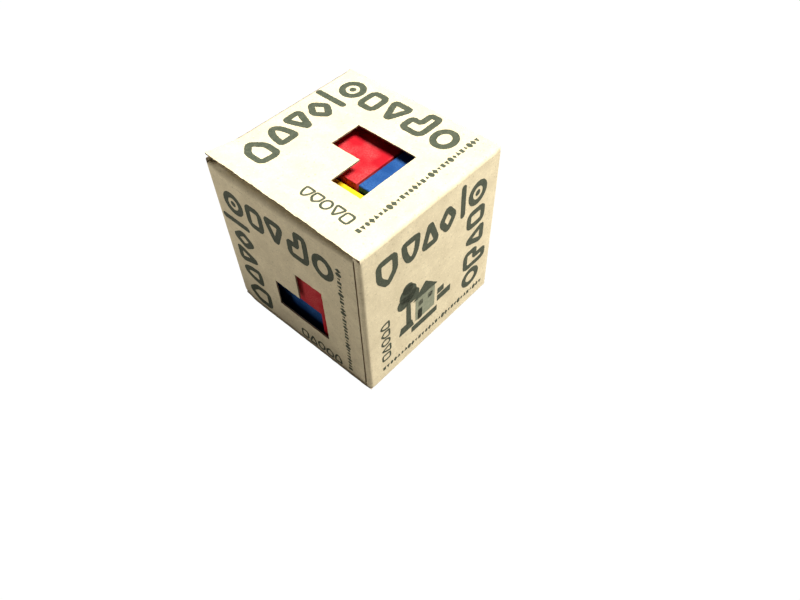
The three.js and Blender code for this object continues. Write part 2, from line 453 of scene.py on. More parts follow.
def make_paint(name, paint, pale, deep):
    """Stained wood: grain and pores through thin paint. Returns it for faces and for edges; the edges
    are paler, partly from rubbing and partly as a painted highlight.
    """
    made = []
    for part, wear_and_highlight in (("face", 0.0), ("edge", 0.55)):
        nodes = Nodes(f"{name}_{part}")
        lines = nodes.noise(1.0, 5.0, 0.65, 0.5, nodes.stretched((0.18, 2.6, 2.6)))
        grain = nodes.spread(lines, 0.35, 0.65)
        broad = nodes.spread(nodes.noise(0.11, 2.0, 0.5), 0.36, 0.56)
        fine = nodes.spread(nodes.noise(2.4, 5.0, 0.75, 0.4), 0.38, 0.6)
        pores = nodes.spread(nodes.noise(1.0, 2.0, 0.5, 0.0, nodes.stretched((0.9, 7, 7))), 0.62, 0.74)
        colour = nodes.mix(nodes.product(grain, 0.55), paint, deep)
        colour = nodes.mix(nodes.product(nodes.product(broad, fine), 0.95), colour, pale)
        colour = nodes.mix(nodes.product(pores, 0.45), colour, tuple(c * 0.45 for c in deep))
        # Edges turn paler: real rubbing through the paint, and a painted highlight where the rounded
        # edges catch the light.
        if wear_and_highlight:
            rubbed_and_highlit = nodes.spread(nodes.noise(0.8, 5.0, 0.7), 0.36, 0.56)
            worn_and_highlit_tone = tuple(0.45 * p + 0.55 * w for p, w in zip(pale, WOOD))
            colour = nodes.mix(nodes.product(rubbed_and_highlit, wear_and_highlight), colour, worn_and_highlit_tone)
        nodes.bump(lines, 0.5, 0.06)
        made.append(nodes.finish(colour, nodes.spread(fine, 0, 1, 0.6, 0.75), 0.1))
    return made


GREYBOARD = [make_board(), make_board_edge()]
INK = make_ink("ink_olive", (0.045, 0.055, 0.034), (0.066, 0.076, 0.049))
INK_MID = make_ink("ink_olive_half_tone", (0.21, 0.225, 0.15), (0.27, 0.28, 0.19))
# Paints as their even colour, where it lies thin and pale, and where it gathers in the grain.
PAINT_TONES = {
    "red_paint": ((0.40, 0.006, 0.014), (0.50, 0.068, 0.068), (0.34, 0.005, 0.011)),
    "blue_paint": ((0.010, 0.054, 0.19), (0.03, 0.105, 0.29), (0.006, 0.04, 0.15)),
    "yellow_paint": ((0.60, 0.40, 0.006), (0.68, 0.50, 0.02), (0.5, 0.27, 0.003)),
    "green_paint": ((0.03, 0.24, 0.07), (0.12, 0.38, 0.17), (0.012, 0.14, 0.035)),
    "natural_wood": ((0.62, 0.43, 0.22), (0.74, 0.56, 0.33), (0.46, 0.29, 0.13)),
}
PAINTS = {name: make_paint(name, *tones) for name, tones in PAINT_TONES.items()}


# ---- Sleeve: the four walls and the glue flap ----


STRIP_RISE = 0.36  # the glued strip by the seam stands out of the glue flap's plane
STRIP_HEAD = 58.85  # the strip's upper end, just under the lid
STRIP_FOOT = 0.62  # the strip's lower end, just over the bottom panel
WALL_FOOT = 0.12  # the right wall's lower edge, outside the bottom panel's free end
GLUE_DIP = 0.45  # length over which the strip dips in behind the seam
EVEN_LOW, EVEN_HIGH = 4.0, 50.0  # heights between which the sleeve's grid is level
wall_columns = {}  # x of the sleeve's grid on the front and back walls, for the pieces that join it


def seam_level(x, facing, turned):
    """Height at which the wall ends and the strip with a dust flap's fold begins."""
    x = np.asarray(x, float)
    reach = dust_radius(x, facing, turned) + dust_drop(x, facing, turned) + DUST_REACH
    return BASE_DUST + reach if turned else TOP_DUST - reach


def make_sleeve():
    """One strip of board folded round the puzzle, from the seam on the front to the glue flap."""
    front = -HALF_Y
    glue = GLUE_LOW[1] - STRIP_RISE
    points = [
        (SEAM_X, front), (-HALF_X, front), (-HALF_X, HALF_Y),
        (HALF_X, HALF_Y), (HALF_X, glue), (GLUE_LOW[0], glue),
    ]
    behind_seam = [HALF_X - SEAM_X + offset for offset in (-GLUE_DIP, -0.3, -0.15, 0.0)]
    breaks = [[SEAM_X - x for x in square_lines(FRONT_WINDOW[0])], (), (), (), behind_seam]
    radii = [CORNER_FOLD, CORNER_FOLD, CORNER_FOLD, GLUED_FOLD]
    places, sides, legs = folded_line(points, radii, STEP, breaks)
    glued = legs > 3.99
    dip = smooth((SEAM_X + GLUE_DIP - places[:, 0]) / GLUE_DIP)
    places[:, 1] += np.where(glued, STRIP_RISE * dip, 0.0)

    # Lowest and highest edge on the front, left, back and right wall, and on the glue flap.
    dust_low = seam_level(0.0, -1, True)
    knots = [0, 0.35, 1, 2, 3, 3.17, 3.6, 4]
    lows = [dust_low, 2.2, LID_REACH, dust_low, WALL_FOOT, STRIP_FOOT, STRIP_FOOT, STRIP_FOOT]
    highs = [seam_level(-HALF_X, -1, False), 58.2, WALL_TOP, seam_level(0.0, 1, False),
             TOP - LID_REACH, TOP - LID_REACH, TOP - LID_REACH + 0.4, STRIP_HEAD]
    low = np.interp(legs, knots, lows)
    high = np.interp(legs, knots, highs)
    high[legs == 0] = seam_level(places[legs == 0][:, 0], -1, False)
    on_flap = np.clip((SEAM_X - places[:, 0]) / (SEAM_X - GLUE_LOW[0]), 0, 1)
    slope = np.where(glued, 5.0 * on_flap**0.45, 0.0)
    low, high = low + slope, high - slope

    rows = np.array(stations(EVEN_LOW, EVEN_HIGH, STEP, square_lines(FRONT_WINDOW[1])))
    ends = np.linspace(0.0, 1.0, 9)
    count = len(places)
    below = low[:, None] + (EVEN_LOW - low[:, None]) * ends[None, :-1]
    above = high[:, None] + (EVEN_HIGH - high[:, None]) * ends[None, ::-1][:, 1:]
    z = np.concatenate([below, np.tile(rows, (count, 1)), above], axis=1)

    names = ["front", "left", "back", "right"]
    out = np.zeros_like(z)
    for k, name in enumerate(names):
        own = legs == k
        along = places[own][:, 0 if k in (0, 2) else 1]
        out[own] = bow(name, along[:, None], z[own])
    outer = np.zeros((*z.shape, 3))
    outer[..., :2] = places[:, None, :] + sides[:, None, :] * out[..., None]
    outer[..., 2] = z
    inner = outer.copy()
    inner[..., :2] -= sides[:, None, :] * BOARD

    kept = np.ones((count - 1, z.shape[1] - 1), bool)
    for i in range(count - 1):
        if legs[i] > 0:
            break
        x = (places[i, 0] + places[i + 1, 0]) / 2
        for j in range(z.shape[1] - 1):
            kept[i, j] = not in_window(x, (z[i, j] + z[i, j + 1]) / 2, FRONT_WINDOW, True)
    made = board_sheet("carton_sleeve", outer, inner, kept)
    wall_columns["front"] = places[legs == 0][::-1, 0]
    wall_columns["back"] = places[legs == 2][:, 0]
    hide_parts("front_wall", "left_wall", "back_wall", "right_wall", "glue_flap")
    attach(made, "root")


# ---- Closing panels ----


def make_closing_panel(name, node, turned):
    """The lid, or with turned the bottom: the fold on its wall and the flat panel.

    The panel is made as the lid. The bottom is the same shape turned half round the Y axis.
    """
    half = LID_HIGH[1]
    end_x = LID_LOW[0] + 1.2
    points = [(HALF_X, TOP - LID_REACH), (HALF_X, TOP), (end_x, TOP)]
    breaks = [(), [HALF_X - x for x in square_lines(LID_WINDOW[0])]]
    # The line is walked with its outer side on the left.
    places, sides, legs = folded_line(mirrored(points), [LID_FOLD], STEP, breaks)
    places, sides = mirrored(places), mirrored(sides)
    rows = np.array(stations(-half, half, STEP, square_lines(LID_WINDOW[1])))

    # At the wall the fold is a little narrower than the panel.
    width = np.interp(legs, [0.0, 0.6, 1.0], [0.988, 0.996, 1.0])
    y = rows[None, :] * width[:, None]
    x, z = sharper_ends(places, legs, rows, (HALF_X, TOP), 0.0)
    flat = legs == 1
    lift = bow("base" if turned else "lid", x, y) * flat[:, None]
    if not turned:
        lift = lift + edge_lift(x, y)
    outer = np.stack([x + sides[:, 0][:, None] * lift, y, z + sides[:, 1][:, None] * lift], axis=-1)
    inner = inner_face(outer, sides)
    kept = np.ones((len(places) - 1, len(rows) - 1), bool)
    for i in range(len(places) - 1):
        for j in range(len(rows) - 1):
            if turned or legs[i] < 1:
                continue
            centre = (x[i, j] + x[i + 1, j]) / 2, (y[i, j] + y[i, j + 1]) / 2
            kept[i, j] = not in_window(*centre, LID_WINDOW, False)
    for grid in (outer, inner):
        if turned:
            near = smooth((-HALF_Y + 3.0 - grid[..., 1]) / 3.0)
            grid[..., 1] -= near * foot_bulge(-grid[..., 0], 0.0)
        else:
            grid[..., 1] += cut_wave(grid[..., 0], grid[..., 1])
        turn_over(grid, turned)
    made = board_sheet(name, outer, inner, kept, ("u0", "u1"))
    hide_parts(node)
    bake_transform(made)


def inner_face(outer, sides):
    """The grid that lies one thickness of board inside of outer, for folds about the Y axis."""
    inner = outer.copy()
    inner[..., 0] -= sides[:, 0][:, None] * BOARD
    inner[..., 2] -= sides[:, 1][:, None] * BOARD
    return inner


def sharper_ends(places, legs, rows, corner, ear_reach):
    """x and z of a fold's grid. Towards both ends of the fold its arc draws into the corner.

    At the very ends the corner stands out by ear_reach.
    """
    middle = smooth((LID_HIGH[1] - np.abs(rows)) / 2.2)
    keep = END_TIGHTNESS + (1 - END_TIGHTNESS) * middle
    on_arc = (legs != np.round(legs))[:, None]
    keep = np.where(on_arc, keep[None, :], 1.0)
    ear = smooth(1 - (LID_HIGH[1] - np.abs(rows)) / 0.9)
    out = np.where(on_arc, math.copysign(ear_reach, corner[0]) * ear[None, :], 0.0)
    x = corner[0] + (places[:, 0][:, None] - corner[0]) * keep + out
    z = corner[1] + (places[:, 1][:, None] - corner[1]) * keep
    return x, z


def cut_wave(x, y):
    """The lid's cut front edge isn't quite straight."""
    near = smooth((-HALF_Y + 2.0 - y) / 2.0)
    ends = smooth((x + HALF_X - 1.8) / 3.0) * smooth((HALF_X - 2.0 - x) / 3.0)
    wave = 0.07 * np.sin(0.62 * x + 0.5) + 0.05 * np.sin(2.1 * x + 2.0)
    return near * ends * (wave + 0.03 * np.sin(3.9 * x))


def mirrored(points):
    """Points of a plane with their first coordinate's sign changed."""
    return np.array(points, float) * np.array([-1.0, 1.0])


def turn_over(grid, turned):
    """Turns a grid of points half round the Y axis at mid height, in place."""
    if turned:
        grid[..., 0] *= -1
        grid[..., 2] = TOP - grid[..., 2]


def make_tuck_flap(name, node, turned):
    """The fold at the panel's free end and the flap that leans in behind the wall."""
    half_panel = LID_HIGH[1]
    half_flap = LID_TUCK_HIGH[1]
    fold_x = LID_LOW[0]
    reach = TOP - LID_TUCK_LOW[2]
    points = [
        (fold_x + 1.2, TOP), (fold_x, TOP),
        (fold_x + reach * math.sin(TUCK_LEAN), TOP - reach * math.cos(TUCK_LEAN)),
    ]
    places, sides, legs = folded_line(mirrored(points), [TUCK_FOLD], STEP)
    places, sides = mirrored(places), mirrored(sides)
    rows = np.array(stations(-half_panel, half_panel, STEP, square_lines(LID_WINDOW[1])))
    down = np.maximum(0.0, TOP - places[:, 1])
    radius = 4.0
    to_tip = np.clip(reach * math.cos(TUCK_LEAN) - down, 0, radius)
    rounded = radius - np.sqrt(np.maximum(0.0, radius**2 - (radius - to_tip) ** 2))
    half = np.interp(legs, [0.0, 0.5, 1.0], [half_panel, half_panel - 0.2, half_flap]) - rounded
    y = rows[None, :] * (half / half_panel)[:, None]
    x, z = sharper_ends(places, legs, rows, (fold_x, TOP), 0.55 if turned else 0.15)
    fade = 1 - smooth(down / 4.0)
    z = z + bow("base" if turned else "lid", x, y) * fade[:, None]
    if not turned:
        z = z + edge_lift(x, y)
    outer = np.stack([x, y, z], axis=-1)
    inner = inner_face(outer, sides)
    kept = np.ones((len(places) - 1, len(rows) - 1), bool)
    for grid in (outer, inner):
        turn_over(grid, turned)
    made = board_sheet(name, outer, inner, kept, ("u0",))
    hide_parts(node)
    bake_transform(made)


def dust_profile(radius, drop):
    """The section of a dust flap: up the wall, round the fold, and in along the flap.

    Returns for each step along it y from the wall, z from the flap's face, the outward direction
    in y and z, and the share of the way from the wall to the flap.
    """
    steps = []
    for t in (0.0, 0.5):
        steps.append((np.zeros_like(radius), -drop - radius - DUST_REACH * (1 - t), -1.0, 0.0, 0.0))
    quarter = math.radians(90)
    for turn in np.linspace(0.0, quarter, 9):
        c, s = math.cos(turn), math.sin(turn)
        share = float(smooth(turn / quarter))
        steps.append((radius * (1 - c), -drop - radius * (1 - s), -c, s, share))
    for t in (*np.linspace(0.0, 0.2, 6)[1:], *np.linspace(0.2, 1.0, 14)[1:]):
        y = radius + (DUST_LENGTH - radius) * t
        steps.append((y, -drop * (1 - smooth((y - radius) / 2.1)), 0.0, 1.0, 1.0))
    y, z, out_y, out_z, share = (np.array(values) for values in zip(*steps))
    return y, z, out_y[:, None], out_z[:, None], share[:, None]


def make_dust_flap(name, node, facing, turned):
    """A dust flap with its fold, on the front (facing -1) or back (+1) wall, at top or bottom."""
    level = TOP_DUST
    wall_x = wall_columns["front" if facing < 0 else "back"]
    radius = dust_radius(wall_x, facing, turned)
    drop = dust_drop(wall_x, facing, turned)
    y, z, out_y, out_z, share = dust_profile(radius, drop)

    # Ends of the flap in x: a taper on the side of the panel's hinge, a chamfer on the tuck side.
    taper = [0.0, DUST_LENGTH]
    chamfer = [0.0, 1.0, 1.5, DUST_LENGTH - 3.0, DUST_LENGTH]
    if turned:
        low = np.interp(y, taper, [-28.3, -19.8])
        high = np.interp(y, chamfer, [27.6, 27.5, 26.9, 26.83, 23.83])
    else:
        low = np.interp(y, chamfer, [-29.3, -29.2, -26.9, -26.83, -23.83])
        high = np.interp(y, taper, [27.7, 19.8])
    first, last = wall_x[0], wall_x[-1]
    place = (wall_x - first) / (last - first)
    x = wall_x[None, :] * (1 - share) + (low + (high - low) * place[None, :]) * share
    outer = np.stack([x, y - HALF_Y, level + z], axis=-1)
    inner = outer.copy()
    inner[..., 1] -= out_y * BOARD
    inner[..., 2] -= out_z * BOARD
    for grid in (outer, inner):
        if facing > 0:
            grid[..., 1] *= -1
        if turned:
            grid[..., 2] = BASE_DUST + level - grid[..., 2]
        if turned and facing < 0:
            grid[..., 1] -= foot_bulge(grid[..., 0], seam_level(0.0, -1, True)) * (1 - share)
    kept = np.ones((len(y) - 1, len(wall_x) - 1), bool)
    made = board_sheet(name, outer, inner, kept, ("u0",))
    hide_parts(node)
    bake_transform(made)


make_sleeve()
make_closing_panel("carton_lid", "lid_panel", False)
make_closing_panel("carton_bottom", "bottom_panel", True)
make_tuck_flap("lid_tuck_fold", "lid_tuck_flap", False)
make_tuck_flap("bottom_tuck_fold", "bottom_tuck_flap", True)
make_dust_flap("top_dust_fold_front", "top_dust_flap_front", -1, False)
make_dust_flap("top_dust_fold_back", "top_dust_flap_back", 1, False)
make_dust_flap("bottom_dust_fold_front", "bottom_dust_flap_front", -1, True)
make_dust_flap("bottom_dust_fold_back", "bottom_dust_flap_back", 1, True)


# ---- Puzzle ----

EDGE_ROUNDING = 0.42
PIECES = {
    "piece_screw_top": "red_paint",
    "piece_screw_front": "red_paint",
    "piece_corner": "blue_paint",
    "piece_tripod": "blue_paint",
    "piece_long_hook": "yellow_paint",
    "piece_zigzag": "natural_wood",
    "piece_tee": "green_paint",
}


def make_wooden_piece(node, slot):
    """The CAD piece with rounded outer edges, painted paler, partly from rubbing and partly as a
    painted highlight.
    """
    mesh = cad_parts[node].data.copy()
    work = bmesh.new()
    work.from_mesh(mesh)
    bmesh.ops.remove_doubles(work, verts=work.verts, dist=1e-6)
    bmesh.ops.dissolve_limit(work, angle_limit=math.radians(1), verts=work.verts, edges=work.edges)
    for face in work.faces:
        face.smooth = False
        face.material_index = 0
    corners = [e for e in work.edges if e.is_convex and e.calc_face_angle(0) > 0.5]
    bmesh.ops.bevel(
        work, geom=corners, offset=EDGE_ROUNDING * MM, offset_type="OFFSET", segments=3,
        profile=0.5, affect="EDGES", clamp_overlap=True, material=1)
    for face in work.faces:
        face.smooth = face.material_index == 1
    bmesh.ops.triangulate(work, faces=[f for f in work.faces if len(f.verts) > 4])
    work.to_mesh(mesh)
    work.free()
    mesh.materials.clear()
    for material in PAINTS[slot]:
        mesh.materials.append(material)
    mesh.name = f"wood_{node}"
    made = add_object(f"wood_{node}", mesh)
    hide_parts(node)
    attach(made, "puzzle")


for piece_node, piece_slot in PIECES.items():
    make_wooden_piece(piece_node, piece_slot)


# ---- Print ----
# Plain toy-block shapes stand where the real carton is printed. They are thin layers of ink.

INK_HEIGHT = 0.03
INK_ROOT = 0.08  # how far the layer is let into the board
STROKE = 2.15  # width of the big shapes' lines
FINE_STROKE = 0.72
FRIEZE_PITCH = 1.62
FRIEZE_HEIGHT = 1.9


def segments_distance(u, v, lines):
    """Distance from each grid point to the nearest of the lines, which are lists of points."""
    best = np.full(u.shape, 1e9)
    for line in lines:
        for (ax, ay), (bx, by) in zip(line, line[1:]):
            dx, dy = bx - ax, by - ay
            share = ((u - ax) * dx + (v - ay) * dy) / max(dx * dx + dy * dy, 1e-9)
            share = np.clip(share, 0, 1)
            best = np.minimum(best, np.hypot(u - ax - share * dx, v - ay - share * dy))
    return best


def polygon_distance(u, v, points):
    """Signed distance to a closed polygon, negative inside."""
    closed = [*points, points[0]]
    edge = segments_distance(u, v, [closed])
    inside = np.zeros(u.shape, bool)
    for (ax, ay), (bx, by) in zip(closed, closed[1:]):
        crosses = (ay > v) != (by > v)
        at = ax + (v - ay) * (bx - ax) / (by - ay if by != ay else 1e-9)
        inside ^= crosses & (u < at)
    return np.where(inside, -edge, edge)


def circle(cu, cv, radius, start=0.0, stop=360.0, count=28):
    angles = [math.radians(start + (stop - start) * k / count) for k in range(count + 1)]
    return [(cu + radius * math.cos(a), cv + radius * math.sin(a)) for a in angles]


def softened(points, cut):
    """The closed outline through these corners, with the corners cut round."""
    points = [*points, points[0]]
    for _ in range(2):
        made = []
        for (ax, ay), (bx, by) in zip(points, points[1:]):
            made.append((ax + (bx - ax) * cut, ay + (by - ay) * cut))
            made.append((bx - (bx - ax) * cut, by - (by - ay) * cut))
        points = [*made, made[0]]
    return points


# Corners of the block shapes in a square from -1 to 1, how much wider and higher than their box
# the pointed ones are drawn, and how far the corners are cut.
OUTLINES = {
    "tile": ([(-1, -1), (1, -1), (1, 1), (-1, 1)], 1, 1, 0.16),
    "wedge": ([(-1, -1), (1, -1), (0, 1)], 1.16, 1.12, 0.12),
    "diamond": ([(0, -1), (1, 0), (0, 1), (-1, 0)], 1.14, 1.12, 0.14),
    "gable": ([(-1, -1), (1, -1), (1, 0.2), (0, 1), (-1, 0.2)], 1, 1, 0.14),
    "steps": ([(-1, -1), (1, -1), (1, 1), (0, 1), (0, 0), (-1, 0)], 1, 1, 0.14),
    "arch": ([(x, 2 * y - 1) for x, y in circle(0, 0, 1, 0, 180, 16)], 1, 1, 0.2),
}


def block_shape(kind, width, height):
    """Centre lines of a toy-block shape in a box of that size, centred on the origin."""
    w, h = width / 2, height / 2
    if kind == "bar":
        return [[(0, -h), (0, h)]]
    if kind in OUTLINES:
        corners, wider, higher, cut = OUTLINES[kind]
        return [softened([(x * w * wider, y * h * higher) for x, y in corners], cut)]
    ring = [(x * w, y * h) for x, y in circle(0, 0, 1)]
    return [ring, [(-0.01, 0), (0.01, 0)]] if kind == "target" else [ring]


class Print:
    """The ink on one face. Each shape is a closed, slightly raised layer of its own."""

    def __init__(self, place):
        self.place = place  # from arrays u, v and height to points
        self.vertices = []
        self.faces = []
        self.slots = []

    def fill(self, field, low, high, pitch, slot=0, ragged=0.05):
        """Covers the region where field(u, v) is negative, within the box low..high."""
        us = np.arange(low[0], high[0] + pitch, pitch)
        vs = np.arange(low[1], high[1] + pitch, pitch)
        u, v = np.meshgrid(us, vs, indexing="ij")
        value = field(u, v)
        value = value + ragged * np.sin(2.9 * u + 1.7 * np.sin(2.3 * v)) * np.sin(3.7 * v + 1.1 * u)
        value[np.abs(value) < 1e-6] = 1e-6
        value[0, :] = value[-1, :] = value[:, 0] = value[:, -1] = 1.0
        inside = value < 0
        some = inside[:-1, :-1] | inside[1:, :-1] | inside[:-1, 1:] | inside[1:, 1:]
        points, found, polygons = [], {}, []

        def corner(i, j):
            if (i, j) not in found:
                found[i, j] = len(points)
                points.append((us[i], vs[j]))
            return found[i, j]

        def crossing(a, b):
            key = (a, b) if a < b else (b, a)
            if key not in found:
                first, second = value[key[0]], value[key[1]]
                share = min(0.98, max(0.02, first / (first - second)))
                found[key] = len(points)
                points.append(tuple(
                    (1 - share) * axis[key[0][n]] + share * axis[key[1][n]]
                    for n, axis in enumerate((us, vs))))
            return found[key]

        for i, j in np.argwhere(some).tolist():
            ring = [(i, j), (i + 1, j), (i + 1, j + 1), (i, j + 1)]
            polygon = []
            for k in range(4):
                here, after = ring[k], ring[(k + 1) % 4]
                if inside[here]:
                    polygon.append(corner(*here))
                if inside[here] != inside[after]:
                    polygon.append(crossing(here, after))
            polygons.append(polygon)
        count = len(points)
        base = len(self.vertices)
        flat = np.array(points)
        for height in (INK_HEIGHT, -INK_ROOT):
            self.vertices += list(self.place(flat[:, 0], flat[:, 1], height))
        used = {}  # the polygons' sides in order, each as it is walked
        for polygon in polygons:
            used.update(dict.fromkeys(zip(polygon, polygon[1:] + polygon[:1])))
        for polygon in polygons:
            self.faces.append([base + n for n in polygon])
            self.faces.append([base + count + n for n in reversed(polygon)])
            self.slots += [slot, slot]
        for a, b in used:
            if (b, a) not in used:
                self.faces.append([base + b, base + a, base + count + a, base + count + b])
                self.slots.append(slot)

    def stroke(self, lines, width, pitch, ragged):
        """Covers lines with a round-ended stroke."""
        every = np.array([p for line in lines for p in line])
        margin = width / 2 + 3 * pitch
        self.fill(
            lambda u, v: segments_distance(u, v, lines) - width / 2,
            every.min(0) - margin, every.max(0) + margin, pitch, ragged=ragged)

    def area(self, points, pitch=0.2, slot=0, rounding=0.15, ragged=0.05):
        """Covers a closed outline, let out all round by rounding."""
        every = np.array(points)
        margin = rounding + 3 * pitch
        self.fill(
            lambda u, v: polygon_distance(u, v, points) - rounding,
            every.min(0) - margin, every.max(0) + margin, pitch, slot, ragged)

    def block(self, kind, u, v, width, height, turn=0, stroke=STROKE, pitch=0.24):
        """A block shape that fills the box of that outer size round (u, v)."""
        c, s = math.cos(math.radians(turn)), math.sin(math.radians(turn))
        lines = block_shape(kind, width - stroke, height - stroke)
        lines = [[(u + c * a - s * b, v + s * a + c * b) for a, b in line] for line in lines]
        self.stroke(lines, stroke, pitch, 0.05 if stroke > 1 else 0.02)

    def frieze(self, start, stop):
        """A fine border of small solid shapes from start to stop."""
        start, stop = np.array(start, float), np.array(stop, float)
        length = float(np.linalg.norm(stop - start))
        along = (stop - start) / length
        up = np.array([-along[1], along[0]])
        count = int(length / FRIEZE_PITCH)
        r = FRIEZE_HEIGHT / 2
        for k in range(count):
            centre = start + along * (k + 0.5) * length / count
            sides = (4, 3, 12, 4, 3)[k % 5]  # squares, triangles and discs by turns
            first = {4: 45, 3: 90 + 180 * (k % 2), 12: 0}[sides] + (45 if k % 5 == 3 else 0)
            size = r * (0.85 if k % 7 in (2, 5) else 1.15)
            points = []
            for n in range(sides):
                a = math.radians(first + 360 * n / sides)
                points.append(tuple(centre + size * (math.cos(a) * along * 0.72 + math.sin(a) * up)))
            self.area(points, 0.13, rounding=0.02, ragged=0.01)

    def make(self, name, body):
        made = make_object(name, self.vertices, self.faces, [INK, INK_MID], self.slots, flat=50)
        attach(made, body)
        return made


def wall_place(axis, level, sign, panel):
    """Maps (u, v, height) on a wall that faces sign along that axis to points."""

    def place(u, v, height):
        out = sign * (level + bow(panel, u, v) + height)
        return np.stack([u, out, v], 1) if axis == 1 else np.stack([out, u, v], 1)

    return place


def lid_place(x, y, height):
    return np.stack([x, y, TOP + bow("lid", x, y) + edge_lift(x, y) + height], 1)


# Blocks as (shape, width, height, shift across the row, turn). The long row climbs to the target
# and the short row goes on from it.
LONG_ROW = [
    ("gable", 8.4, 11.4, 1.1, 90),
    ("arch", 7.4, 9.2, 0, 90),
    ("wedge", 7.0, 9.2, 0, -90),
    ("diamond", 7.2, 9.2, 0, 90),
    ("bar", STROKE, 12.3, -1.6, 90),
]
SHORT_ROW = [
    ("tile", 7.4, 9.2, 0, 0),
    ("wedge", 7.6, 9.2, 0, 180),
    ("steps", 8.8, 11.6, 1.2, 0),
    ("ring", 8.4, 9.4, 0, 0),
]
TARGET = 8.7


def block_column(ink, u, blocks, heights, sign=1):
    """Blocks above each other at u. A sign of -1 faces them the other way."""
    for (kind, width, height, shift, turn), v in zip(blocks, heights):
        ink.block(kind, u + sign * shift, v, width, height, sign * turn)


def block_row(ink, v, blocks, places):
    for (kind, width, height, shift, turn), u in zip(blocks, places):
        ink.block(kind, u, v + shift, width, height, turn)


def small_blocks(ink, start, step, size):
    """Five outlined blocks in a row."""
    place = np.array(start, float)
    way = np.array(step, float)
    turn = math.degrees(math.atan2(way[1], way[0]))
    for kind in ("tile", "wedge", "ring", "gable", "arch"):
        ink.block(kind, *place, size * 0.86, size, turn, FINE_STROKE, 0.14)
        place = place + way


def print_lid():
    ink = Print(lid_place)
    block_column(ink, -21.1, LONG_ROW, (-17.4, -8.2, -0.4, 7.3, 13.4))
    ink.block("target", -20.8, 21.0, TARGET, TARGET)
    block_row(ink, 20.6, SHORT_ROW, (-11.8, -3.2, 6.2, 16.0))
    small_blocks(ink, (17.8, -20.3), (-3.75, 0), 4.2)
    ink.frieze((23.0, -22.4), (23.0, 27.2))
    ink.make("print_lid", "lid")


def print_front():
    ink = Print(wall_place(1, HALF_Y, -1, "front"))
    block_column(ink, -21.1, LONG_ROW, (7.0, 16.4, 24.3, 32.1, 38.8))
    ink.block("target", -21.6, 46.6, TARGET, TARGET)
    block_row(ink, 46.5, SHORT_ROW, (-12.2, -3.6, 5.8, 15.6))
    small_blocks(ink, (1.3, 4.2), (3.75, 0), 4.0)
    ink.frieze((21.7, 3.0), (21.7, 50.6))
    ink.make("print_front", "root")


def village(ink, u0, v0, sign):
    """A tree, a house and a low wall of toy blocks, growing from (u0, v0)."""

    def at(points):
        return [(u0 + sign * a, v0 + b) for a, b in points]

    def box(left, low, right, high, **look):
        ink.area(at([(left, low), (right, low), (right, high), (left, high)]), **look)

    for a, b, r in ((4.9, 20.3, 3.6), (2.9, 17.6, 2.6), (7.0, 17.9, 2.7), (4.8, 22.6, 2.2)):
        ink.area(at(circle(a, b, r, 0, 345, 23)), rounding=0.05)
    ink.area(at([(4.0, 6.2), (6.0, 6.2), (5.7, 16.0), (4.2, 16.0)]))  # trunk
    ink.area(at([(0.8, 3.4), (7.2, 3.4), (6.4, 6.6), (1.6, 6.6)]))  # its foot
    box(8.2, 4.4, 16.8, 14.2, slot=1)  # house
    ink.area(at([(7.2, 14.2), (17.8, 14.2), (12.5, 19.4)]))  # roof
    box(9.4, 10.2, 11.4, 12.4, rounding=0.05)
    box(13.8, 10.2, 15.8, 12.4, rounding=0.05)
    box(9.2, 4.0, 11.0, 8.6)  # door
    box(18.4, 4.6, 24.6, 7.2)  # wall
    box(18.4, 8.0, 21.2, 10.4)
    box(6.4, 0.2, 18.2, 2.6)  # ground


def print_side(name, sign):
    ink = Print(wall_place(0, HALF_X, sign, "right" if sign > 0 else "left"))
    row = [
        ("gable", 8.4, 11.4, -1.1, 180),
        ("arch", 7.6, 9.2, 0, 180),
        ("wedge", 7.0, 9.2, 0, 0),
        ("diamond", 7.2, 9.2, 0, 0),
        ("bar", STROKE, 12.3, 1.6, 0),
    ]
    column = [
        ("tile", 7.4, 8.8, 0, 90),
        ("wedge", 7.6, 8.8, 0, 90),
        ("steps", 8.8, 11.4, sign * 1.2, 90 if sign < 0 else -90),
        ("ring", 8.4, 8.8, 0, 90),
    ]
    block_row(ink, 48.2, row, [sign * u for u in (-19.2, -9.8, -1.9, 5.6, 12.4)])
    ink.block("target", sign * 19.1, 48.8, TARGET, TARGET)
    block_column(ink, sign * 19.1, column, (39.2, 30.6, 21.4, 12.1))
    village(ink, sign * -16.2, 10.8, sign)
    small_blocks(ink, (sign * -21.2, 10.2), (0, 3.75), 4.0)
    ink.frieze((sign * -23.2, 4.8), (sign * 26.0, 4.8))
    ink.make(name, "root")


def print_back():
    ink = Print(wall_place(1, HALF_Y, 1, "back"))
    block_row(ink, 46.5, SHORT_ROW, (11.8, 3.2, -6.2, -16.0))
    ink.block("target", 21.2, 46.6, TARGET, TARGET)
    block_column(ink, 21.1, LONG_ROW, (7.0, 16.4, 24.3, 32.1, 38.8), -1)
    small_blocks(ink, (-1.3, 4.6), (-3.75, 0), 4.0)
    ink.frieze((-21.9, 50.6), (-21.9, 4.2))
    ink.make("print_back", "root")


print_lid()
print_front()
print_side("print_right", 1)
print_side("print_left", -1)
print_back()


# ---- Floor, light and camera ----

FLOOR_HALF = 3.0  # metres
FLOOR_TONE = (0.27, 0.262, 0.25)
SEEN_TONE = (0.02, 0.02, 0.02)
SEEN_GLOW = 1.02  # just enough to look evenly white


def stage_white(name, albedo, glow):
    """A plain, nearly even tone for the stage, which may glow."""
    nodes = Nodes(name)
    tone = nodes.spread(nodes.noise(0.02), 0.3, 0.7)
    nodes.finish(nodes.mix(tone, tuple(0.98 * c for c in albedo), albedo), 0.95, 0.0)
    nodes.shader.inputs["Emission Color"].default_value = (1.0, 1.0, 1.0, 1.0)
    nodes.shader.inputs["Emission Strength"].default_value = glow
    return nodes.material


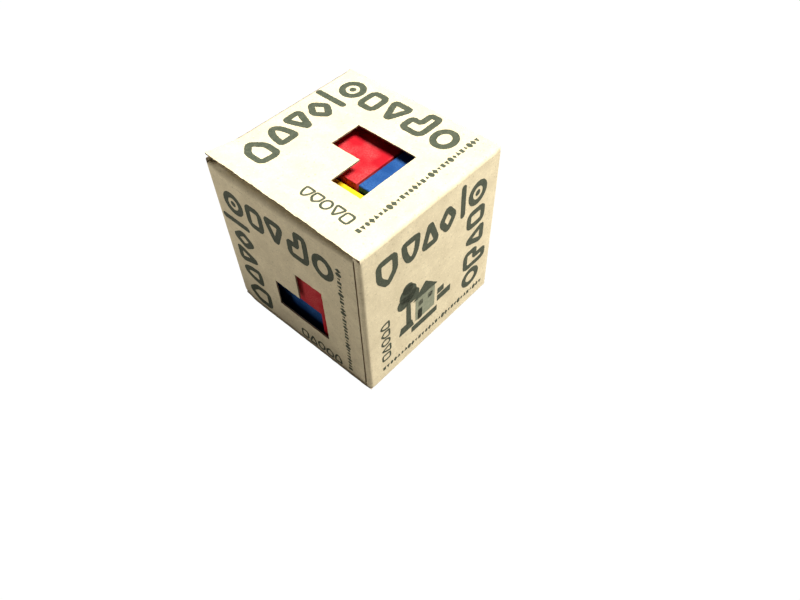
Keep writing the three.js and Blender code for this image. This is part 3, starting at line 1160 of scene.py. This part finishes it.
def make_slab(name, high, low, material):
    """A wide flat slab of the stage, with its top and its underside at these heights in metres."""
    mesh = bpy.data.meshes.new(name)
    s = FLOOR_HALF
    corners = [(x, y, z) for z in (low, high) for x, y in ((-s, -s), (s, -s), (s, s), (-s, s))]
    faces = [(3, 2, 1, 0), (4, 5, 6, 7), (0, 1, 5, 4), (1, 2, 6, 5), (2, 3, 7, 6), (3, 0, 4, 7)]
    mesh.from_pydata(corners, [], faces)
    mesh.materials.append(material)
    slab = add_object(name, mesh)
    return slab


def make_floor():
    """A white table that looks evenly white, and a plain one that throws the light back up."""
    # The white one is just low enough for the opened bottom panel to lie on it.
    seen = make_slab("floor", -0.0006, -0.0007, stage_white("floor_white", SEEN_TONE, SEEN_GLOW))
    only_seen(seen)
    bounce = make_slab("floor_below", -0.0002, -0.02, stage_white("floor_plain", FLOOR_TONE, 0.0))
    bounce.visible_camera = False


def only_seen(thing):
    """Lets the camera see the thing, and keeps it out of all lighting."""
    thing.visible_diffuse = False
    thing.visible_glossy = False
    thing.visible_transmission = False
    thing.visible_shadow = False


def make_backdrop():
    """A white dome that only the camera sees, so that the room behind the table is white too."""
    mesh = bpy.data.meshes.new("backdrop")
    work = bmesh.new()
    bmesh.ops.create_uvsphere(work, u_segments=48, v_segments=24, radius=FLOOR_HALF * 0.95)
    work.to_mesh(mesh)
    work.free()
    mesh.materials.append(stage_white("backdrop_white", SEEN_TONE, SEEN_GLOW))
    dome = add_object("backdrop", mesh)
    only_seen(dome)


def add_light(name, kind, strength, colour, toward):
    """A light of that kind, which shines from the direction toward."""
    data = bpy.data.lights.new(name, kind)
    data.energy = strength
    data.color = colour
    light = add_object(name, data)
    light.rotation_mode = "QUATERNION"
    light.rotation_quaternion = toward.to_track_quat("Z", "Y")
    return light


def make_lamp(name, place, aim, size, power, colour):
    """A small square lamp, or reflector card, beside the table. Places are in millimetres."""
    lamp = add_light(name, "AREA", power, colour, Vector(place) - Vector(aim))
    lamp.data.size = size * MM
    lamp.location = Vector(place) * MM
    lamp.visible_camera = False


def make_sun(name, toward, strength, soft_deg, colour):
    """A light from the direction toward, soft by that angle."""
    sun = add_light(name, "SUN", strength, colour, Vector(toward).normalized())
    sun.data.angle = math.radians(soft_deg)


def make_camera():
    """The photograph's view of the carton."""
    place = Vector((0.11028, -0.09987, 0.17725))
    aim = Vector((0.02929, -0.01383, 0.030))
    roll = math.radians(1.65)
    data = bpy.data.cameras.new("camera")
    data.sensor_width = 36.0
    data.lens = 29.74
    data.clip_start = 0.01
    camera = add_object("camera", data)
    look = (aim - place).to_track_quat("-Z", "Y").to_matrix()
    turn = look @ Matrix.Rotation(-roll, 3, "Z")
    camera.matrix_world = Matrix.Translation(place) @ turn.to_4x4()
    bpy.context.scene.camera = camera


make_floor()
make_backdrop()
make_sun("key", (0.275, 0.36, 1.0), 8.6, 24.0, (1.0, 0.985, 0.955))
make_lamp("side_lamp", (100, 95, 60), (30, 15, 32), 50, 0.047, (1.0, 0.98, 0.97))
make_lamp("front_fill", (-80, -140, 60), (-5, -29, 55), 60, 0.05, (1.0, 0.98, 0.97))
make_camera()

world = bpy.data.worlds.new("studio")
bpy.context.scene.world = world
world.use_nodes = True
background = world.node_tree.nodes["Background"]
background.inputs["Color"].default_value = (1.0, 0.99, 0.97, 1.0)
background.inputs["Strength"].default_value = 0.05
bpy.context.scene.view_settings.view_transform = "Standard"
